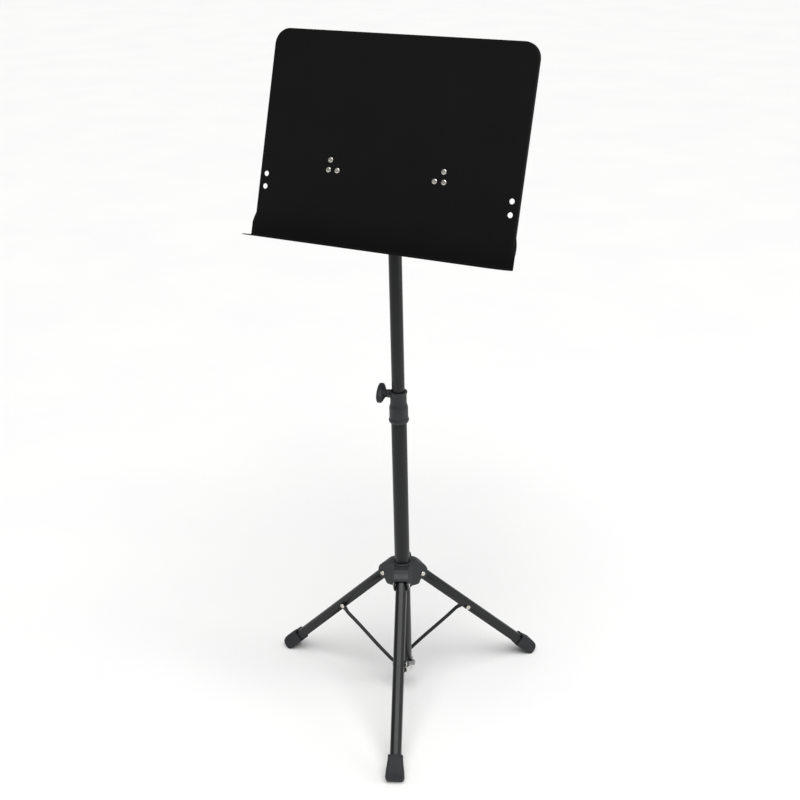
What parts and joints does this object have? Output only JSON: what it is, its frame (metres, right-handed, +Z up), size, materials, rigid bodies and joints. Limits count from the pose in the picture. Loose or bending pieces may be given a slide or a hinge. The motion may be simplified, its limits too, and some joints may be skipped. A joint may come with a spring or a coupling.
{
  "type": "music stand",
  "caption": "Folding music stand: solid steel desk with a bottom ledge on a telescoping round column, over a sliding-hub tripod with channel legs, rubber boots and thin struts.",
  "frame": {"origin": "on the floor under the middle of the whole stand's box, a little beside the column", "axes": "+Z up along the column, -Y towards the reader, +X to the reader's right"},
  "size_m": [0.5339, 0.5101, 1.2326],
  "materials": {
    "desk_paint": "matt fine-textured black powder coat",
    "tube_paint": "satin black powder coat",
    "black_plastic": "moulded satin",
    "boot_rubber": "matt moulded rubber",
    "zinc_plate": "bright zinc plate",
    "rivet_steel": "plated steel",
    "brass": "machined"
  },
  "bodies": {
    "stand_column": {"outer_tube": "tube_paint", "tube_plug": "black_plastic", "clamp_collar": "black_plastic", "height_shoe": "black_plastic", "height_insert": "brass", "spreader_bracket": "zinc_plate", "bracket_screw": "rivet_steel", "strut_pin_1": "rivet_steel", "strut_pin_2": "rivet_steel", "strut_pin_3": "rivet_steel"},
    "height_clamp": {"height_screw": "rivet_steel", "height_knob": "black_plastic"},
    "hub": {"leg_hub": "black_plastic", "hub_shoe": "black_plastic", "hub_insert": "brass", "leg_pivot_1": "rivet_steel", "leg_pivot_2": "rivet_steel", "leg_pivot_3": "rivet_steel"},
    "hub_clamp": {"hub_screw": "rivet_steel", "hub_knob": "black_plastic"},
    "leg_1_body": {"leg_1": "tube_paint", "leg_boot_1": "boot_rubber", "strut_rivet_1": "rivet_steel"},
    "strut_1_body": {"strut_1": "tube_paint", "strut_rivet_head_1": "rivet_steel"},
    "leg_2_body": {"leg_2": "tube_paint", "leg_boot_2": "boot_rubber", "strut_rivet_2": "rivet_steel"},
    "strut_2_body": {"strut_2": "tube_paint", "strut_rivet_head_2": "rivet_steel"},
    "leg_3_body": {"leg_3": "tube_paint", "leg_boot_3": "boot_rubber", "strut_rivet_3": "rivet_steel"},
    "strut_3_body": {"strut_3": "tube_paint", "strut_rivet_head_3": "rivet_steel"},
    "slider": {"guide_bush": "black_plastic"},
    "upper_column": {"inner_tube": "tube_paint", "desk_clamp_head": "black_plastic", "tilt_nut": "rivet_steel", "tilt_washer": "rivet_steel"},
    "tilt_clamp": {"tilt_screw": "rivet_steel", "tilt_knob": "black_plastic"},
    "desk": {"desk_panel": "desk_paint", "desk_rivet_left_1": "rivet_steel", "desk_rivet_left_2": "rivet_steel", "desk_rivet_left_3": "rivet_steel", "desk_rivet_right_1": "rivet_steel", "desk_rivet_right_2": "rivet_steel", "desk_rivet_right_3": "rivet_steel", "bar_bracket_left": "tube_paint", "bar_bracket_right": "tube_paint", "tilt_bar": "zinc_plate"}
  },
  "joints": [
    {"name": "height_slide", "type": "slide", "parent": "stand_column", "child": "slider", "axis": [0, 0, 1], "range_m": [-0.19, 0.2]},
    {"name": "column_swivel", "type": "hinge", "parent": "slider", "child": "upper_column", "pos_m": [0.0217, 0.0125, 0.6], "axis": [0, 0, 1], "continuous": true},
    {"name": "desk_tilt", "type": "hinge", "parent": "upper_column", "child": "desk", "pos_m": [0.0217, 0.0125, 1.016], "axis": [-1, 0, 0], "range_deg": [-20, 60]},
    {"name": "height_knob_turn", "type": "hinge", "parent": "stand_column", "child": "height_clamp", "pos_m": [0.0217, 0.0125, 0.62], "axis": [-0.9659, -0.2588, 0], "range_deg": [0, 270]},
    {"name": "hub_knob_turn", "type": "hinge", "parent": "hub", "child": "hub_clamp", "pos_m": [0.0217, 0.0125, 0.262], "axis": [-0.4147, 0.91, 0], "range_deg": [0, 270]},
    {"name": "tilt_knob_turn", "type": "hinge", "parent": "upper_column", "child": "tilt_clamp", "pos_m": [0.0217, 0.0125, 1.002], "axis": [0, 1, 0], "range_deg": [0, 270]},
    {"name": "hub_slide", "type": "slide", "parent": "stand_column", "child": "hub", "axis": [0, 0, 1], "range_m": [0, 0.1114]},
    {"name": "leg_1_fold", "type": "hinge", "parent": "hub", "child": "leg_1_body", "pos_m": [0.03655, -0.02008, 0.2524], "axis": [0.91, 0.4147, 0], "range_deg": [0, 45]},
    {"name": "strut_1_fold", "type": "hinge", "parent": "stand_column", "child": "strut_1_body", "pos_m": [0.01838, 0.01978, 0.0535], "axis": [-0.91, -0.4147, 0], "range_deg": [0, 43.6]},
    {"name": "leg_2_fold", "type": "hinge", "parent": "hub", "child": "leg_2_body", "pos_m": [0.04249, 0.04165, 0.2524], "axis": [-0.8141, 0.5807, 0], "range_deg": [0, 45]},
    {"name": "strut_2_fold", "type": "hinge", "parent": "stand_column", "child": "strut_2_body", "pos_m": [0.01705, 0.00599, 0.0535], "axis": [0.8141, -0.5807, 0], "range_deg": [0, 43.6]},
    {"name": "leg_3_fold", "type": "hinge", "parent": "hub", "child": "leg_3_body", "pos_m": [-0.01393, 0.01593, 0.2524], "axis": [-0.0958, -0.9954, 0], "range_deg": [0, 45]},
    {"name": "strut_3_fold", "type": "hinge", "parent": "stand_column", "child": "strut_3_body", "pos_m": [0.02966, 0.01173, 0.0535], "axis": [0.0958, 0.9954, 0], "range_deg": [0, 43.6]}
  ],
  "couplings": [
    {"joint": "leg_1_fold", "follows": "hub_slide", "rad_per_m": 7.0495},
    {"joint": "strut_1_fold", "follows": "hub_slide", "rad_per_m": 6.8294},
    {"joint": "leg_2_fold", "follows": "hub_slide", "rad_per_m": 7.0495},
    {"joint": "strut_2_fold", "follows": "hub_slide", "rad_per_m": 6.8294},
    {"joint": "leg_3_fold", "follows": "hub_slide", "rad_per_m": 7.0495},
    {"joint": "strut_3_fold", "follows": "hub_slide", "rad_per_m": 6.8294}
  ]
}
